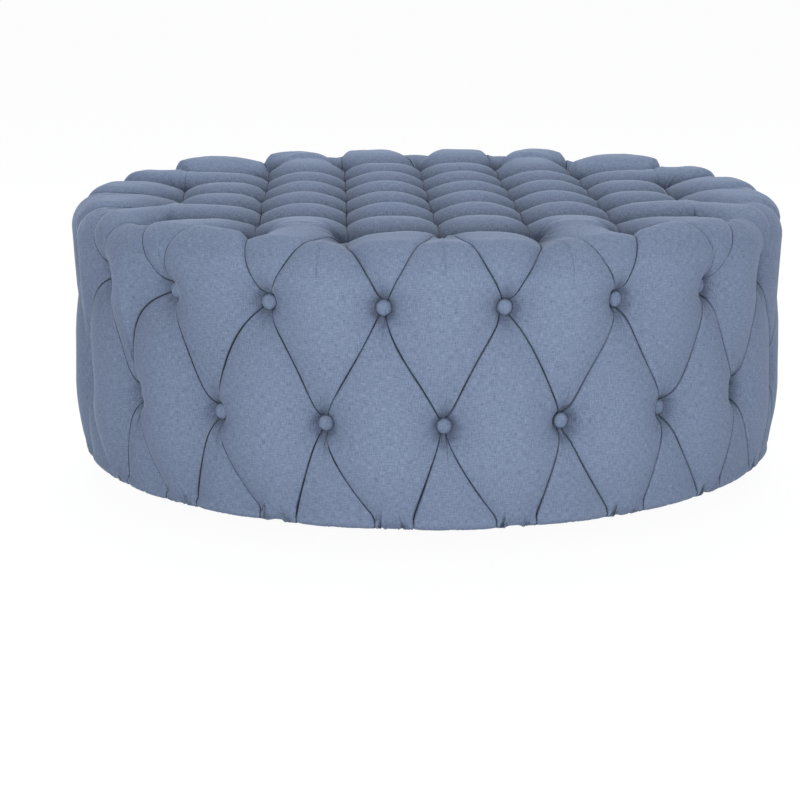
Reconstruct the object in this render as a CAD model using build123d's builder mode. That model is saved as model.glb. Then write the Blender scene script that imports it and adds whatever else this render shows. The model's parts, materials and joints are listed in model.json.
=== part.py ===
from build123d import *
from math import acos, atan2, cos, degrees, pi, radians, sin, sqrt, tan
import os

os.makedirs("parts", exist_ok=True)

# Overall size of the ottoman, in millimetres. The origin is on the floor, under the middle.
outer_radius = 495.3
total_height = 398.8
foot_height = 40.0

# Tufting of the top: square biscuits in straight columns and rows, with a button at every crossing
column_pitch = 114.5
row_pitch = 110.5
last_node = 3
top_padding = 40.0
top_pleat_depth = 16.0

# Tufting of the wall: two staggered rows of buttons, tied into the outermost nodes of the top
wall_tufts = 20
upper_row_height = 313.0
lower_row_height = 168.0
wall_padding = 40.0
wall_pleat_depth = 15.0
pinch = 5.0

# Rounded rim and tucked lower edge
rim_radius = 48.0
rim_drop = 3.8
rim_pleat_depth = 10.0
bottom_tuck = 12.0
bottom_pleat_depth = 10.0
rim_lean_share = 0.55
bottom_spread_share = 0.62

# How the puffs are drawn in
tip_share = 0.05
level_shares = (0.25, 0.5, 0.75)
biscuit_level_shares = (0.0, 0.2, 0.5, 0.8, 1.0)
roundness_share = 0.6
fullness_share = 0.3
crest_shares = ((0.17, 0.66), (0.5, 1.0), (0.83, 0.66))
top_reach_share = 0.5
rim_tilts = (30, 60)
middle_tilt = 45
tuck_power = 3
over_depth = 7.0

# Buttons, tufting twine and the wooden toggles that hold it
button_radius = 10.0
button_taper = 30
button_height = 6.0
button_sides = 8
well_clearance = 0.6
twine_width = 2.0
slit_clearance = 0.5
toggle_length = 16.0
toggle_width = 8.0
toggle_height = 5.0

# Wooden frame
lath_thickness = 8.0
lath_gap = 4.0
wall_foam_thickness = 27.4
top_foam_thickness = 24.0
board_thickness = 15.0
board_gap = 4.0
batten_height = 30.0
batten_width = 30.0
post_width = 32.0
post_circle = 385.0
hoop_width = 8.0
hoop_height = 15.0
ring_thickness = 18.0
ring_inner_radius = 270.0

# Feet and underside
foot_count = 6
foot_circle = 310.0
foot_width = 50.0
foot_tip_width = 42.0
foot_chamfer = 2.0
stud_radius = 4.0
stud_length = 40.0
stud_in_foot = 24.0
stud_sides = 8
stud_clearance = 0.3
hem_thickness = 1.2
hem_width = 68.0
hem_join = 8.0
cloth_thickness = 0.8
cloth_lap = 12.0
foot_clearance = 1.0
staple_count = 16
staple_length = 11.0
staple_wire = 1.0
staple_leg = 6.0

# Places worked out from the sizes above
seat_radius = outer_radius - wall_padding
seat_height = total_height - top_padding
node_radius = seat_radius + pinch
node_height = seat_height + pinch
edge_height = total_height - top_pleat_depth
wall_pleat_radius = outer_radius - wall_pleat_depth
rim_top = total_height - rim_drop
rim_centre_radius = outer_radius - rim_radius
rim_centre_height = rim_top - rim_radius
bottom_crown_radius = outer_radius - bottom_tuck
bottom_pleat_radius = bottom_crown_radius - bottom_pleat_depth
body_bottom = foot_height
wall_step = 360 / wall_tufts
lath_count = 2 * wall_tufts
lath_step = 360 / lath_count
lath_outer = seat_radius - wall_foam_thickness
lath_inner = lath_outer - lath_thickness
board_top = seat_height - top_foam_thickness
board_bottom = board_top - board_thickness
batten_bottom = board_bottom - batten_height
ring_top = body_bottom + ring_thickness
well_radius = button_radius + well_clearance
up = Vector(0, 0, 1)


def radial(angle):
    return Vector(sin(radians(angle)), -cos(radians(angle)), 0)


def wall_point(radius, angle, height):
    return radial(angle) * radius + up * height


def angle_of(point):
    return degrees(atan2(point.X, -point.Y))


# The button nodes of the top, and the ring of outermost ones in order round the top
def grid_point(column, row):
    return Vector(column * column_pitch, row * row_pitch, node_height)


grid = range(-last_node, last_node + 1)
grid_nodes = [(i, k) for i in grid for k in grid if abs(i) + abs(k) < 2 * last_node]
rim_nodes = [grid_point(i, k) for i, k in grid_nodes if max(abs(i), abs(k)) == last_node]
rim_nodes.sort(key=lambda point: angle_of(point) % 360)


def upper_node(j):
    return wall_point(node_radius, (j + 0.5) * wall_step, upper_row_height)


def lower_node(j):
    return wall_point(node_radius, j * wall_step, lower_row_height)


def swell(share):
    """0 at both buttons of a pleat and 1 half way between them."""
    return max(sin(pi * share), 0) ** roundness_share


# A pleat lies in a plane. Each puff on either side of it has a flat side in that plane.
class Pleat:
    def __init__(self, start, end, third):
        self.start = start
        self.end = end
        self.normal = (end - start).cross(third - start).normalized()

    def at(self, radius, height):
        """The point of the plane at this radius and height, on the pleat's own side."""
        side = Vector(self.normal.X, self.normal.Y, 0)
        offset = self.normal.dot(self.start) - self.normal.Z * height
        middle = (self.start + self.end) * 0.5
        turn = degrees(acos(offset / (side.length * radius)))
        choices = [wall_point(radius, angle_of(side) + way * turn, height) for way in (-1, 1)]
        return min(choices, key=lambda point: (point - middle).length)


def wall_pleat(start, end):
    middle_angle = angle_of(start + end)
    return Pleat(start, end, start + radial(middle_angle) * outer_radius)


def along(pleat, share, rise):
    """A point of a wall pleat, swollen outwards in its plane. The first stretch is straight."""
    bend = max(share, level_shares[0])
    flat = pleat.start + (pleat.end - pleat.start) * bend
    point = flat + radial(angle_of(pleat.start + pleat.end)) * rise * swell(bend)
    return pleat.start + (point - pleat.start) * (share / bend)


def rim_pleat(start, node):
    """From an upper button over the rim to a node, leaning towards the node as it climbs."""
    turn = (angle_of(node) - angle_of(start) + 180) % 360 - 180
    side = radial(angle_of(start) + (90 if turn > 0 else -90))
    return Pleat(start, node, start + (up + side * rim_lean_share) * rim_radius)


def rim_crossing(pleat, tilt):
    """Where a rim pleat crosses the rounded rim, at this tilt from level."""
    radius = rim_radius - rim_pleat_depth
    out = rim_centre_radius + radius * cos(radians(tilt))
    return pleat.at(out, rim_centre_height + radius * sin(radians(tilt)))


def section(left, right, left_pleat, right_pleat, inward, depth, crown):
    """The ring of points round one slice: a crest, two sides in the pleats and a base."""
    across = (right - left).normalized()
    normal = inward.cross(across).normalized()
    corners = []
    for point, pleat in ((right, right_pleat), (left, left_pleat)):
        down = normal.cross(pleat.normal).normalized()
        down = down if down.dot(inward) > 0 else -down
        corners.append(point + down * (depth / down.dot(inward)))
    chord = (right - left).length
    rise = min(crown, fullness_share * chord)
    crest = [left + across * (x * chord) - inward * (y * rise) for x, y in crest_shares]
    return [left, *crest, right, *corners]


def level_section(left, right, left_pleat, right_pleat, crown_radius):
    """A level slice of a wall puff, whose crown reaches crown_radius."""
    middle = (left + right) * 0.5
    outward = Vector(middle.X, middle.Y, 0)
    depth = left.X * outward.normalized().X + left.Y * outward.normalized().Y
    depth = depth - seat_radius + over_depth
    crown = crown_radius - outward.length
    return section(left, right, left_pleat, right_pleat, -outward.normalized(), depth, crown)


def rim_section(left, right, left_pleat, right_pleat, tilt):
    """A tilted slice over the rounded rim."""
    middle = (left + right) * 0.5
    outward = Vector(middle.X, middle.Y, 0)
    lean = outward.normalized() * cos(radians(tilt)) + up * sin(radians(tilt))
    centre = outward.normalized() * rim_centre_radius + up * rim_centre_height
    crown = rim_radius - (middle - centre).dot(lean)
    inner = max(
        (outward.length - seat_radius) / cos(radians(tilt)) if tilt < middle_tilt else 0,
        (middle.Z - seat_height) / sin(radians(tilt)) if tilt > middle_tilt else 0,
    )
    return section(left, right, left_pleat, right_pleat, -lean, inner + over_depth, crown)


def top_section(left, right, left_pleat, right_pleat, crown_height):
    """An upright slice of a puff of the top."""
    height = (left.Z + right.Z) / 2
    depth = height - seat_height
    return section(left, right, left_pleat, right_pleat, -up, depth, crown_height - height)


def drawn(slices):
    """A closed solid of flat faces through the rings of points, like cloth drawn between them."""
    faces = [slices[0], slices[-1]]
    rings = [ring + ring[:1] for ring in slices]
    for ring, next_ring in zip(rings, rings[1:]):
        for a, b, c, d in zip(ring, ring[1:], next_ring, next_ring[1:]):
            faces += [(a, b, d), (a, d, c)]
    return Solid(Shell([Face(Wire.make_polygon(corners, close=True)) for corners in faces]))


# Wall puffs: each is made between two rows of buttons, so that its sides stay flat
wall_rise = wall_pleat_radius - node_radius * cos(radians(wall_step / 4))
lower_rise = wall_pleat_radius - (node_radius + bottom_pleat_radius) / 2


def wall_puff(left_pleat, right_pleat, rise, shares, crowns):
    slices = []
    for share, crown_radius in zip(shares, crowns):
        left = along(left_pleat, share, rise)
        right = along(right_pleat, share, rise)
        slices.append(level_section(left, right, left_pleat, right_pleat, crown_radius))
    return drawn(slices)


tip_shares = (tip_share, *level_shares, 1)
full_shares = (0, *level_shares, 1)
wall_crowns = [outer_radius for share in tip_shares]
tip_tuck_crowns = [outer_radius - bottom_tuck * share**tuck_power for share in tip_shares]
full_tuck_crowns = [outer_radius - bottom_tuck * share**tuck_power for share in full_shares]


def lower_pleat(j, way):
    angle = (j + way * bottom_spread_share / 2) * wall_step
    return wall_pleat(lower_node(j), wall_point(bottom_pleat_radius, angle, body_bottom))


def rim_slices(left_pleat, right_pleat, tilts):
    slices = []
    for tilt in tilts:
        left = rim_crossing(left_pleat, tilt)
        right = rim_crossing(right_pleat, tilt)
        slices.append(rim_section(left, right, left_pleat, right_pleat, tilt))
    return slices


def towards(pleat):
    """The point of a rim pleat on the flat of the top, between the rim and its node."""
    radius = Vector(pleat.start.X, pleat.start.Y).length * (1 - top_reach_share)
    radius = radius + Vector(pleat.end.X, pleat.end.Y).length * top_reach_share
    return pleat.at(radius, rim_top - rim_pleat_depth)


def corner_puff(node, next_node):
    """The rest of a corner puff of the top, from its two rim nodes in to the inner node."""
    inner = Vector(
        min(node.X, next_node.X, key=abs), min(node.Y, next_node.Y, key=abs), node_height
    )
    left_pleat, right_pleat = Pleat(node, inner, node + up), Pleat(next_node, inner, next_node + up)
    slices = []
    for share in (0, 0.5, 1 - tip_share):
        lift = up * (edge_height - node_height) * swell(share)
        left = node + (inner - node) * share + lift
        right = next_node + (inner - next_node) * share + lift
        slices.append(top_section(left, right, left_pleat, right_pleat, rim_top))
    return drawn(slices)


def border_puffs(j):
    node, next_node = rim_nodes[j], rim_nodes[(j + 1) % wall_tufts]
    here, before = upper_node(j), upper_node(j - 1)
    left_up, right_up = wall_pleat(lower_node(j), before), wall_pleat(lower_node(j), here)
    left_down = wall_pleat(here, lower_node(j))
    right_down = wall_pleat(here, lower_node(j + 1))
    left_rim, right_rim = rim_pleat(before, node), rim_pleat(here, node)
    next_rim = rim_pleat(here, next_node)

    # The diamond below the node, from its lower button up to the two upper ones
    diamond = wall_puff(left_up, right_up, wall_rise, tip_shares, wall_crowns)

    # The same diamond, on over the rim to the node
    slices = [level_section(before, here, left_rim, right_rim, outer_radius)]
    slices += rim_slices(left_rim, right_rim, rim_tilts)
    left, right = towards(left_rim), towards(right_rim)
    slices.append(top_section(left, right, left_rim, right_rim, rim_top))
    left, right = (node + (point - node) * tip_share for point in (left, right))
    slices.append(top_section(left, right, left_rim, right_rim, rim_top))
    over_rim = drawn(slices)

    # The puff above an upper button, from the button over the rim to the two nodes
    left, right = (rim_crossing(pleat, rim_tilts[0]) for pleat in (right_rim, next_rim))
    left, right = (here + (point - here) * tip_share for point in (left, right))
    slices = [level_section(left, right, right_rim, next_rim, outer_radius)]
    slices += rim_slices(right_rim, next_rim, rim_tilts)
    left, right = towards(right_rim), towards(next_rim)
    slices.append(top_section(left, right, right_rim, next_rim, rim_top))
    on_corner = node.X != next_node.X and node.Y != next_node.Y
    slices.append(
        top_section(node, next_node, right_rim, next_rim, rim_top if on_corner else edge_height)
    )
    above = [drawn(slices)]
    if on_corner:
        above.append(corner_puff(node, next_node))

    # The diamond below an upper button, and the tucked puffs under the lower buttons
    below = wall_puff(left_down, right_down, wall_rise, tip_shares, wall_crowns)
    left_tuck, right_tuck = lower_pleat(j, 1), lower_pleat(j + 1, -1)
    tucked = wall_puff(left_tuck, right_tuck, lower_rise, full_shares, full_tuck_crowns)
    own_left, own_right = lower_pleat(j, -1), lower_pleat(j, 1)
    heel = wall_puff(own_left, own_right, lower_rise, tip_shares, tip_tuck_crowns)
    return [diamond, over_rim, *above, below, tucked, heel]


# Biscuits of the top: neighbours meet in upright planes under the pleats
def biscuit(column, row):
    west, east = grid_point(column, row), grid_point(column + 1, row)
    back = Vector(0, row_pitch, 0)
    left_pleat, right_pleat = (Pleat(p, p + back, p + up) for p in (west, east))
    slices = []
    for share in biscuit_level_shares:
        move = Vector(0, share * row_pitch, (edge_height - node_height) * swell(share))
        crown = edge_height + (total_height - edge_height) * swell(share)
        slices.append(top_section(west + move, east + move, left_pleat, right_pleat, crown))
    return drawn(slices)


# Where the buttons sit: the seat planes face outwards, level with the plain pads below
def wall_seat(angle, height):
    return Plane(wall_point(seat_radius, angle, height), x_dir=radial(angle + 90), z_dir=radial(angle))


top_seats = [Plane((i * column_pitch, k * row_pitch, seat_height)) for i, k in grid_nodes]
upper_seats = [wall_seat((j + 0.5) * wall_step, upper_row_height) for j in range(wall_tufts)]
lower_seats = [wall_seat(j * wall_step, lower_row_height) for j in range(wall_tufts)]

with BuildPart() as well:
    with BuildSketch(Plane.XY.offset(-over_depth)):
        RegularPolygon(well_radius, button_sides)
    extrude(amount=over_depth + wall_padding + top_padding)

# The plain inside of the tufted cover: the pads and frame fill it
with BuildPart() as core:
    with BuildSketch(Plane.XY.offset(body_bottom)):
        RegularPolygon(seat_radius, lath_count, major_radius=False, rotation=lath_step / 2)
    extrude(amount=seat_height - body_bottom)

# Tufted wall and rim, one piece with the hem that is turned under the frame
border = [piece for j in range(wall_tufts) for piece in border_puffs(j)]
with BuildPart() as tufted_border:
    add(border)
    add(core.part, mode=Mode.SUBTRACT)
    with Locations(*top_seats, *upper_seats, *lower_seats):
        add(well.part, mode=Mode.SUBTRACT)
    with BuildSketch(Plane.XY.offset(body_bottom)):
        hem_outer = seat_radius + hem_join
        RegularPolygon(hem_outer, lath_count, major_radius=False)
        RegularPolygon(hem_outer - hem_width, lath_count, major_radius=False, mode=Mode.SUBTRACT)
    extrude(amount=-hem_thickness)
tufted_border.part.label = "tufted_border"
export_step(tufted_border.part, "parts/tufted_border.step")

# Tufted top panel, joined to the border in the outermost pleats
cells = range(-last_node, last_node)
end_cells = (-last_node, last_node - 1)
biscuits = [
    biscuit(i, k) for i in cells for k in cells if not (i in end_cells and k in end_cells)
]
with BuildPart() as tufted_top:
    add(biscuits)
    with Locations(*top_seats):
        add(well.part, mode=Mode.SUBTRACT)
tufted_top.part.label = "tufted_top"
export_step(tufted_top.part, "parts/tufted_top.step")


# Buttons, twines and toggles: each is made about a seat plane and then set at every seat
with BuildPart() as button:
    with BuildSketch():
        RegularPolygon(button_radius, button_sides)
    extrude(amount=button_height, taper=button_taper)


def twine(length):
    with BuildPart() as strand:
        with BuildSketch():
            Rectangle(twine_width, twine_width)
        extrude(amount=-length)
    return strand.part


def toggle(depth):
    with BuildPart() as bar:
        with BuildSketch(Plane.XY.offset(-depth)):
            Rectangle(toggle_length, toggle_width)
        extrude(amount=-toggle_height)
    return bar.part


def slit(depth):
    with BuildPart() as cut:
        with BuildSketch():
            Rectangle(twine_width + 2 * slit_clearance, twine_width + 2 * slit_clearance)
        extrude(amount=-depth, both=True)
    return cut.part


def set_at(seats, piece, name):
    with BuildPart() as group:
        with Locations(*seats):
            add(piece)
    group.part.label = name
    export_step(group.part, f"parts/{name}.step")


top_depth = top_foam_thickness + board_thickness
wall_depth = wall_foam_thickness + lath_thickness
rows = [
    ("top", top_seats, top_depth),
    ("upper", upper_seats, wall_depth),
    ("lower", lower_seats, wall_depth),
]
for row, seats, depth in rows:
    set_at(seats, button.part, f"{row}_buttons")
    set_at(seats, twine(depth), f"{row}_twines")
    set_at(seats, toggle(depth), f"{row}_toggles")

# Plain foam pads under the cover, pierced for the twines
with BuildPart() as top_foam:
    with BuildSketch(Plane.XY.offset(board_top)):
        RegularPolygon(seat_radius, lath_count, major_radius=False, rotation=lath_step / 2)
    extrude(amount=top_foam_thickness)
    with Locations(*top_seats):
        add(slit(top_depth), mode=Mode.SUBTRACT)
top_foam.part.label = "top_foam"
export_step(top_foam.part, "parts/top_foam.step")

with BuildPart() as wall_foam:
    with BuildSketch(Plane.XY.offset(body_bottom)):
        RegularPolygon(seat_radius, lath_count, major_radius=False, rotation=lath_step / 2)
        RegularPolygon(lath_outer, lath_count, major_radius=False, mode=Mode.SUBTRACT)
    extrude(amount=board_top - body_bottom)
    with Locations(*upper_seats, *lower_seats):
        add(slit(wall_depth), mode=Mode.SUBTRACT)
wall_foam.part.label = "wall_foam"
export_step(wall_foam.part, "parts/wall_foam.step")

# Laths round the frame, with a gap beside each for the wall twines
lath_width = 2 * lath_inner * tan(radians(lath_step / 2)) - lath_gap
with BuildPart() as wall_laths:
    with PolarLocations(lath_inner + lath_thickness / 2, lath_count, start_angle=lath_step / 2):
        with Locations((0, 0, body_bottom)):
            Box(
                lath_thickness,
                lath_width,
                board_top - body_bottom,
                align=(Align.CENTER, Align.CENTER, Align.MIN),
            )
wall_laths.part.label = "wall_laths"
export_step(wall_laths.part, "parts/wall_laths.step")

# Deck boards, with gaps under the pleat columns for the top twines
for number in range(2 * last_node + 2):
    column = number - last_node - 1
    west = column * column_pitch + board_gap / 2
    with BuildPart() as deck_board:
        with BuildSketch(Plane.XY.offset(board_bottom)):
            RegularPolygon(lath_inner, lath_count, major_radius=False)
            with Locations((west, 0)):
                Rectangle(
                    column_pitch - board_gap,
                    2 * outer_radius,
                    align=(Align.MIN, Align.CENTER),
                    mode=Mode.INTERSECT,
                )
        extrude(amount=board_thickness)
    deck_board.part.label = f"deck_board_{number + 1}"
    export_step(deck_board.part, f"parts/deck_board_{number + 1}.step")

# Battens across under the boards, each on a post at either end
for number in range(2 * last_node):
    y = (number - last_node + 0.5) * row_pitch
    x = sqrt(post_circle**2 - y**2)
    with BuildPart() as batten:
        with Locations((0, y, batten_bottom)):
            Box(
                2 * x + post_width,
                batten_width,
                batten_height,
                align=(Align.CENTER, Align.CENTER, Align.MIN),
            )
    batten.part.label = f"batten_{number + 1}"
    export_step(batten.part, f"parts/batten_{number + 1}.step")
    for side, way in (("left", -1), ("right", 1)):
        with BuildPart() as post:
            with Locations((way * x, y, ring_top)):
                Box(
                    post_width,
                    post_width,
                    batten_bottom - ring_top,
                    align=(Align.CENTER, Align.CENTER, Align.MIN),
                )
        post.part.label = f"{side}_post_{number + 1}"
        export_step(post.part, f"parts/{side}_post_{number + 1}.step")

# Hoop half way up, between the two rows of wall twines
hoop_bottom = (upper_row_height + lower_row_height - hoop_height) / 2
with BuildPart() as middle_hoop:
    with BuildSketch(Plane.XY.offset(hoop_bottom)):
        RegularPolygon(lath_inner, lath_count, major_radius=False)
        RegularPolygon(lath_inner - hoop_width, lath_count, major_radius=False, mode=Mode.SUBTRACT)
    extrude(amount=hoop_height)
middle_hoop.part.label = "middle_hoop"
export_step(middle_hoop.part, "parts/middle_hoop.step")

# Base ring, drilled for the feet
foot_angles = [(n + 0.5) * 360 / foot_count for n in range(foot_count)]
foot_planes = [
    Plane(radial(a) * foot_circle + up * body_bottom, x_dir=radial(a), z_dir=up) for a in foot_angles
]
with BuildPart() as base_ring:
    with BuildSketch(Plane.XY.offset(body_bottom)):
        RegularPolygon(lath_inner, lath_count, major_radius=False)
        RegularPolygon(ring_inner_radius, lath_count, major_radius=False, mode=Mode.SUBTRACT)
    extrude(amount=ring_thickness)
    with BuildSketch(*foot_planes):
        RegularPolygon(stud_radius + stud_clearance, stud_sides)
    extrude(amount=ring_thickness, mode=Mode.SUBTRACT)
base_ring.part.label = "base_ring"
export_step(base_ring.part, "parts/base_ring.step")

def square(place, width, depth):
    """The corners of a level square, this deep below the plane."""
    ways = [(-1, 1), (-1, -1), (1, -1), (1, 1)]
    return [place.from_local_coords((x * width / 2, y * width / 2, -depth)) for x, y in ways]


# Feet, set in from the edge, and the studs that join them to the ring
for number, place in enumerate(foot_planes):
    with BuildPart() as foot:
        add(
            drawn([
                square(place, foot_width, 0),
                square(place, foot_tip_width, foot_height - foot_chamfer),
                square(place, foot_tip_width - 2 * foot_chamfer, foot_height),
            ])
        )
        with BuildSketch(place):
            RegularPolygon(stud_radius + stud_clearance, stud_sides)
        extrude(amount=-stud_in_foot - stud_clearance, mode=Mode.SUBTRACT)
    foot.part.label = f"foot_{number + 1}"
    export_step(foot.part, f"parts/foot_{number + 1}.step")

with BuildPart() as foot_studs:
    with BuildSketch(*[place.offset(-stud_in_foot) for place in foot_planes]):
        RegularPolygon(stud_radius, stud_sides)
    extrude(amount=stud_length)
foot_studs.part.label = "foot_studs"
export_step(foot_studs.part, "parts/foot_studs.step")

# Dust cloth under the frame, lapped over the hem and cut round the feet
cloth_top = body_bottom - hem_thickness
cloth_radius = seat_radius + hem_join - hem_width + cloth_lap
with BuildPart() as dust_cloth:
    with BuildSketch(Plane.XY.offset(cloth_top)):
        RegularPolygon(cloth_radius, lath_count, major_radius=False)
    extrude(amount=-cloth_thickness)
    with BuildSketch(*foot_planes):
        Rectangle(foot_width + 2 * foot_clearance, foot_width + 2 * foot_clearance)
    extrude(amount=-foot_height, mode=Mode.SUBTRACT)
dust_cloth.part.label = "dust_cloth"
export_step(dust_cloth.part, "parts/dust_cloth.step")

# Staples through the lap into the base ring
staple_circle = cloth_radius - cloth_lap / 2
with BuildPart() as staple:
    with Locations((0, 0, cloth_top - cloth_thickness - staple_wire)):
        Box(
            staple_wire,
            staple_length,
            staple_wire,
            align=(Align.CENTER, Align.CENTER, Align.MIN),
        )
        with GridLocations(0, staple_length - staple_wire, 1, 2):
            Box(
                staple_wire,
                staple_wire,
                staple_leg,
                align=(Align.CENTER, Align.CENTER, Align.MIN),
            )
with BuildPart() as cloth_staples:
    with PolarLocations(staple_circle, staple_count, start_angle=180 / staple_count):
        add(staple.part)
cloth_staples.part.label = "cloth_staples"
export_step(cloth_staples.part, "parts/cloth_staples.step")
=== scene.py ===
# %% [markdown]
# # A round tufted ottoman table
#
# The real object is a low round ottoman: a wooden frame, foam pads, and a
# padded fabric cover pulled in by rows of covered buttons. This lesson dresses
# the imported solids. The hard pieces stay as they are and get their finishes.
# The soft cover and its buttons are modelled here as cloth.

import json
import math

import bmesh
import bpy
import numpy as np
from mathutils import Euler, Matrix, Vector, noise


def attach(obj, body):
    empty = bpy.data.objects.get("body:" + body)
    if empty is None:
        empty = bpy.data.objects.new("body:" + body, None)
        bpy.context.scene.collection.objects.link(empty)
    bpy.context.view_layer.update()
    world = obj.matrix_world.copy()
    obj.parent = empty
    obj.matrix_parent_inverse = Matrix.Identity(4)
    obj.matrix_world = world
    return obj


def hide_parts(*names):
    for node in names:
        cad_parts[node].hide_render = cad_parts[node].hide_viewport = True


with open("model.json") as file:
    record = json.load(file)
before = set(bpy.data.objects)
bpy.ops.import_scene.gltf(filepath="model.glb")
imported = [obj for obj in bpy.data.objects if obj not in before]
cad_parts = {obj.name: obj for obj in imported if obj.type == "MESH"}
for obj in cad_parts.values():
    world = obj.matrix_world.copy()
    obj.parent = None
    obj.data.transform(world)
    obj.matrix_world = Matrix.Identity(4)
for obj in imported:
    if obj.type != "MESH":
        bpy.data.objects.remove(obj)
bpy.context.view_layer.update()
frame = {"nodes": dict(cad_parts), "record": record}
nodes = frame["nodes"]

# %% [markdown]
# ## The camera
#
# The photograph looks across the top from a little above. The place of the
# camera was fitted to the two known sizes and to the rows of buttons, whose
# spacing is even on the real cover. It comes first, so that each piece can be
# judged in its view.

# %% Camera
camera_distance = 2.992
camera_height = 0.795
camera_turn = -0.044
camera_pitch = 0.231
camera_lens = 96.95
camera_shift = -0.0344
sensor_width = 36

bpy.ops.object.camera_add(
    location=(
        camera_distance * math.sin(camera_turn),
        -camera_distance * math.cos(camera_turn),
        camera_height,
    ),
    rotation=(math.pi / 2 - camera_pitch, 0, camera_turn),
)
camera = bpy.context.object
camera.name = "camera"
camera.data.sensor_width = sensor_width
camera.data.lens = camera_lens
camera.data.shift_x = camera_shift
bpy.context.scene.camera = camera
print("camera at", tuple(round(v, 3) for v in camera.location))

# %% [markdown]
# ## The line of the body
#
# Under its puffs, the cover follows one line turned round the middle: in from
# the hem, round the lower edge, up the slightly tucked wall, over the rim and
# in across the top. All sizes in this part are in millimetres. A place on the
# cover is written as its way round and its way along this line.

# %% Sizes of the body
MM = 0.001
outer_radius = 495.3
total_height = 398.8
padding = 40.0
body_bottom = 40.0
hem_radius = 400.0
under_height = 39.2
lower_edge_radius = 13.0
tuck = 12.0
tuck_power = 3
rim_radius = 48.0
rim_top = 395.0
rim_rise = 3.8
rim_rise_width = 80.0
upper_row = 313.0
lower_row = 168.0
under_samples = 60
arc_samples = 40
wall_samples = 220
top_samples = 200


def wall_radius(z):
    """Radius of the wall, which tucks in below the lower row of buttons."""
    share = np.clip((lower_row - z) / (lower_row - body_bottom), 0, 1)
    return outer_radius - tuck * share**tuck_power


def eased(share):
    """A share from 0 to 1 that starts and ends gently."""
    return share**2 * (3 - 2 * share)


# %% Profile of the body
edge_height = under_height + lower_edge_radius
edge_centre = float(wall_radius(edge_height)) - lower_edge_radius
rim_centre = outer_radius - rim_radius
rim_start = rim_top - rim_radius
quarter = np.radians(np.linspace(0, 90, arc_samples))[1:]
line = [(r, under_height) for r in np.linspace(hem_radius, edge_centre, under_samples)]
line += [
    (edge_centre + lower_edge_radius * np.sin(t), edge_height - lower_edge_radius * np.cos(t))
    for t in quarter
]
line += [(float(wall_radius(z)), z) for z in np.linspace(edge_height, rim_start, wall_samples)[1:]]
line += [
    (rim_centre + rim_radius * np.cos(t), rim_start + rim_radius * np.sin(t)) for t in quarter
]
top_radii = np.linspace(rim_centre, 0, top_samples)[1:]
inwards = np.clip((rim_centre - top_radii) / rim_rise_width, 0, 1)
line += list(zip(top_radii, rim_top + rim_rise * eased(inwards)))
line = np.array(line)
steps = np.linalg.norm(np.diff(line, axis=0), axis=1)
line_way = np.concatenate([[0], np.cumsum(steps)])
slope = np.gradient(line, line_way, axis=0)
line_out = np.stack([slope[:, 1], -slope[:, 0]], 1)
line_out /= np.linalg.norm(line_out, axis=1)[:, None]
line_out[len(line) - len(top_radii) :] = (0, 1)
print("line length", round(line_way[-1]), "mm")


# %% Places on the body
def way_at_height(z):
    """How far along the line the wall reaches this height."""
    wall = (line[:, 0] > rim_centre) & (line[:, 1] < rim_top - 1)
    return float(np.interp(z, line[wall, 1], line_way[wall]))


def way_at_radius(r):
    """How far along the line the top comes in to this radius."""
    top = slice(len(line) - len(top_radii) - 1, None)
    return np.interp(-np.asarray(r), -line[top, 0], line_way[top])


def below_top(way):
    """How far the line lies below the highest level of the top."""
    return total_height - np.interp(way, line_way, line[:, 1])


def on_border(place, height):
    """Points of the wall and rim, in millimetres, this much above the line."""
    angle = place[:, 0] / outer_radius
    radius, level = (np.interp(place[:, 1], line_way, line[:, n]) for n in (0, 1))
    out_r, out_z = (np.interp(place[:, 1], line_way, line_out[:, n]) for n in (0, 1))
    size = np.hypot(out_r, out_z)
    radius = radius + out_r / size * height
    level = level + out_z / size * height
    return np.stack([radius * np.sin(angle), -radius * np.cos(angle), level], 1)


def on_top(place, height):
    """Points of the top, this much above its highest level."""
    return np.stack([place[:, 0], place[:, 1], total_height + height], 1)


# %% [markdown]
# ## Buttons and pleats
#
# The maker marks a square grid on the top and two staggered rows on the wall.
# A button goes on every mark, and a folded pleat joins each one to its
# neighbours. The outermost buttons of the top share pleats with the upper row
# of the wall, which is why the diamonds change shape as they go over the rim.

# %% Marks for the buttons
column_pitch = 114.5
row_pitch = 110.5
last = 3
wall_tufts = 20
step_round = 2 * math.pi / wall_tufts * outer_radius
whole_round = wall_tufts * step_round

grid = [
    (i, k)
    for i in range(-last, last + 1)
    for k in range(-last, last + 1)
    if abs(i) + abs(k) < 2 * last
]


def turn_of(mark):
    """The turn of a mark of the grid, from the front."""
    return math.atan2(mark[0] * column_pitch, -mark[1] * row_pitch) % (2 * math.pi)


rim_marks = [mark for mark in grid if max(abs(mark[0]), abs(mark[1])) == last]
rim_marks.sort(key=turn_of)
top_place = {("top", i, k): np.array([i * column_pitch, k * row_pitch]) for i, k in grid}
upper_way = way_at_height(upper_row)
lower_way = way_at_height(lower_row)
crest_way = way_at_radius(rim_centre)
border_place = {}
for j in range(wall_tufts):
    border_place[("upper", j)] = np.array([(j + 0.5) * step_round, upper_way])
    border_place[("lower", j)] = np.array([j * step_round, lower_way])
print(len(grid), "top buttons,", len(rim_marks), "of them on the rim")


def rim_mark(j):
    """The outermost mark of the top that goes with tuft j of the wall."""
    return ("top", *rim_marks[j % wall_tufts])


def wall_mark(row, j):
    """The place of mark j in a row of the wall, counted on past the last one."""
    return border_place[(row, j % wall_tufts)] + np.array([whole_round * (j // wall_tufts), 0])


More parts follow.
